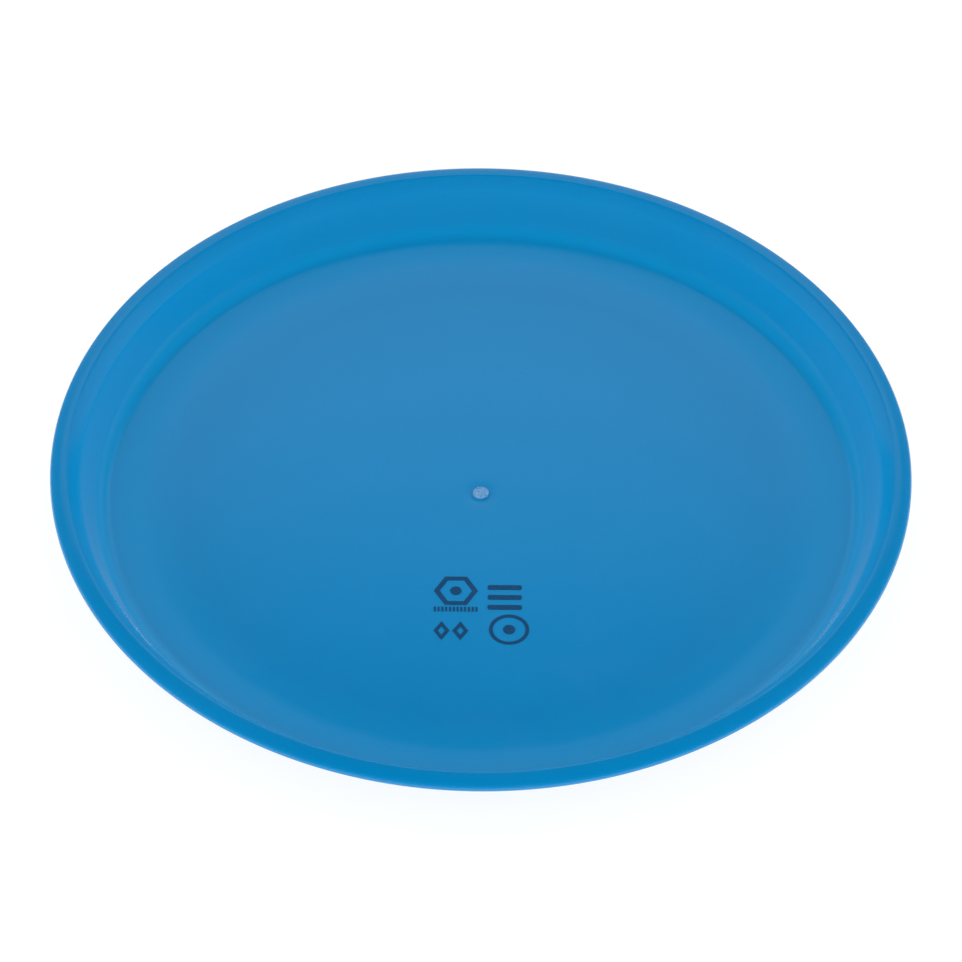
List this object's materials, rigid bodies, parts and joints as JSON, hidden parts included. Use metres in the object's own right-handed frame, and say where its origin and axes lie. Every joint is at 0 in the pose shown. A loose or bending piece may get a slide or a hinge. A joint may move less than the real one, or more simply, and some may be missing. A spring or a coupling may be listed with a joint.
{
  "type": "flying disc",
  "caption": "Round thin-walled throwing disc with a short side wall and a flared rounded rim lip, lying open side up, with small printed marks inside.",
  "frame": {"origin": "centre of the flat outer face of the flight plate, which the disc rests on when it lies open side up", "axes": "+Z along the disc's axis, out of the open side; -Y towards the printed marks; +X to the right of the marks seen from the open side"},
  "size_m": [0.214, 0.214, 0.0157],
  "materials": {
    "disc_plastic": "satin moulded polypropylene, slightly translucent blue",
    "print_ink": "matt pad-printed dark navy ink"
  },
  "bodies": {
    "root": {"moulded_disc": "disc_plastic", "print_hexagon": "print_ink", "print_tick_row": "print_ink", "print_bar_stack": "print_ink", "print_diamond_pair": "print_ink", "print_ring": "print_ink"}
  },
  "joints": []
}
